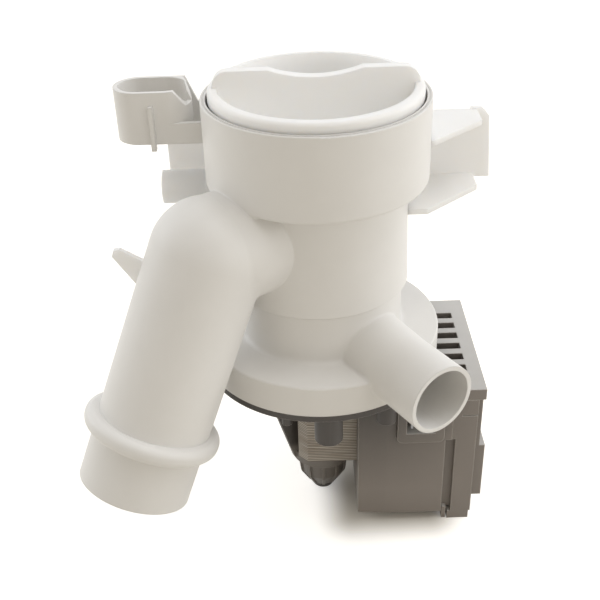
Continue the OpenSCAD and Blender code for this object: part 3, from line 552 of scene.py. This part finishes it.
# %% Camera
PITCH = math.radians(31.955)
ROLL = math.radians(-1.839)
LENS, SENSOR = 56.426, 36
EYE = (-7.162 * MM, -287.710 * MM, 267.004 * MM)
NEAREST = 0.01
ahead = Vector((0, math.cos(PITCH), -math.sin(PITCH)))
level = Vector((1, 0, 0))
upward = level.cross(ahead)
right = math.cos(ROLL) * level + math.sin(ROLL) * upward
top = -math.sin(ROLL) * level + math.cos(ROLL) * upward
view = bpy.data.cameras.new("camera")
view.sensor_fit = "HORIZONTAL"
view.sensor_width = SENSOR
view.lens = LENS
view.clip_start = NEAREST
camera = bpy.data.objects.new("camera", view)
camera.matrix_world = Matrix((
    (right.x, top.x, -ahead.x, EYE[0]),
    (right.y, top.y, -ahead.y, EYE[1]),
    (right.z, top.z, -ahead.z, EYE[2]),
    (0, 0, 0, 1),
))
bpy.context.scene.collection.objects.link(camera)
bpy.context.scene.camera = camera
print("camera at", tuple(round(v, 4) for v in camera.location))

# %% [markdown]
# The photograph is a high-key one: a white table in front of a bright background. The table is pale, and
# adds its own light for the eye and for mirrors alone, so that it burns out to white as the photograph's
# does. Round the motor's foot that light fades away, so the shadow there stays.

# %% Floor
# Inside this box the table's own glow fades out, so the table is darker there even where nothing shades it: a
# painted shadow round the motor's foot, on top of the real one.
SHADOW_BOX = ((0.011, 0.040), (-0.021, 0.037))
SHADE_REACH = 0.017
NEAR_GLOW, FAR_GLOW = 0.02, 0.68
TABLE_DARK, TABLE_LIGHT = (0.71, 0.672, 0.60), (0.74, 0.702, 0.63)
HALF_FLOOR = 6


def looked_at_rays(wire):
    rays = wire.node("ShaderNodeLightPath").socket.node.outputs
    seen = Wire(wire.tree, rays["Is Camera Ray"])
    glossy = Wire(wire.tree, rays["Is Glossy Ray"])
    through = Wire(wire.tree, rays["Is Transmission Ray"])
    return wire.node("ShaderNodeMath", {"operation": "ADD", "use_clamp": True},
                     {0: seen + glossy, 1: through})


def plain_floor():
    material, wire = blank_finish("pale_floor")
    place = place_on_part(wire)
    speckle = grain(wire, place, 60.0)
    beyond = []
    for axis, (near, far) in enumerate(SHADOW_BOX):
        spot = wire.node("ShaderNodeSeparateXYZ", None, {"Vector": place}, out=axis) - (near + far) / 2
        off = wire.node("ShaderNodeMath", {"operation": "ABSOLUTE"}, {0: spot}) - (far - near) / 2
        beyond.append(wire.node("ShaderNodeMath", {"operation": "MAXIMUM"}, {0: off, 1: 0.0}))
    gap = (beyond[0] * beyond[0] + beyond[1] * beyond[1]) ** 0.5
    # Painted shadow: the glow fades inside the box round the motor's foot.
    clear = wire.node("ShaderNodeMapRange", {"interpolation_type": "SMOOTHSTEP"},
                      {"Value": gap, "From Max": SHADE_REACH, "To Min": NEAR_GLOW, "To Max": FAR_GLOW})
    glow = tint(wire, looked_at_rays(wire) * clear, (0, 0, 0), (1, 1, 1))
    table = wire.node("ShaderNodeBsdfPrincipled", None,
                      {"Base Color": tint(wire, speckle, TABLE_DARK, TABLE_LIGHT), "Roughness": 1.0,
                       "Specular IOR Level": 0.0, "Emission Color": glow, "Emission Strength": 1.0})
    close_finish(wire, table)
    return material


corners = [(x * HALF_FLOOR, y * HALF_FLOOR, 0) for x, y in ((-1, -1), (1, -1), (1, 1), (-1, 1))]
floor_mesh = bpy.data.meshes.new("floor")
floor_mesh.from_pydata(corners, [], [(0, 1, 2, 3)])
floor = bpy.data.objects.new("floor", floor_mesh)
floor.data.materials.append(plain_floor())
bpy.context.scene.collection.objects.link(floor)
print("floor:", 2 * HALF_FLOOR, "m across")

# %% [markdown]
# Light wraps round the pump from behind and from the sides, and its front stays a warm grey. A sky that is
# white at the back and dimmer and warmer at the front gives that. What the eye and mirrors see of the sky
# itself is plain white, like the table.

# %% Sky
BACK = (1.0, 1.0, 1.0)
FRONT = (0.512, 0.464, 0.390)
SKY_STOPS = [(0.22, FRONT), (0.64, BACK)]
SKY_STRENGTH = 0.85
world = bpy.data.worlds.new("studio")
bpy.context.scene.world = world
world.use_nodes = True
world.node_tree.nodes.clear()
sky = Wire(world.node_tree)
direction = sky.node("ShaderNodeTexCoord", out=0)
depth = sky.node("ShaderNodeSeparateXYZ", None, {"Vector": direction}, out=1)
wrap = sky.node("ShaderNodeValToRGB", {"stops": SKY_STOPS}, {"Fac": depth * 0.5 + 0.5})
sky_light = sky.node("ShaderNodeBackground", None, {"Color": wrap, "Strength": SKY_STRENGTH})
backdrop = sky.node("ShaderNodeBackground", None, {"Color": (1, 1, 1, 1), "Strength": 1.0})
shown = sky.node("ShaderNodeMixShader", None, {0: looked_at_rays(sky), 1: sky_light, 2: backdrop})
sky.node("ShaderNodeOutputWorld", None, {"Surface": shown})
print("sky from", FRONT, "to", BACK)

# %% [markdown]
# Four large, weak lamps shape the white forms: one overhead for soft shadows, a cool one on each side and
# one from the right of the camera. They stay low enough for the palest face to keep below white.

# %% Lamps
PLAIN = (1, 1, 1)
LAMPS = {
    "overhead": ((0.30, -0.10, 1.05), (0, 0, 0.08), 0.6, 1.9, PLAIN),
    "right_side": ((0.95, 0.10, 0.45), (0, 0, 0.1), 0.7, 2.1, (0.93, 0.96, 1.0)),
    "left_back": ((-0.90, 0.22, 0.40), (0, 0, 0.1), 0.7, 1.9, (0.92, 0.96, 1.0)),
    "right_front": ((0.75, -0.60, 0.45), (0, 0, 0.1), 0.7, 1.3, PLAIN),
}


def soft_lamp(name, place, target, size, watts, colour):
    lamp = bpy.data.lights.new(name, "AREA")
    lamp.shape = "DISK"
    lamp.size = size
    lamp.energy = watts
    lamp.color = colour
    holder = bpy.data.objects.new(name, lamp)
    holder.location = place
    holder.rotation_euler = (Vector(target) - Vector(place)).to_track_quat("-Z", "Y").to_euler()
    bpy.context.scene.collection.objects.link(holder)


for name, settings in LAMPS.items():
    soft_lamp(name, *settings)
bpy.context.scene.view_settings.view_transform = "Standard"
print("lamps:", len(LAMPS))
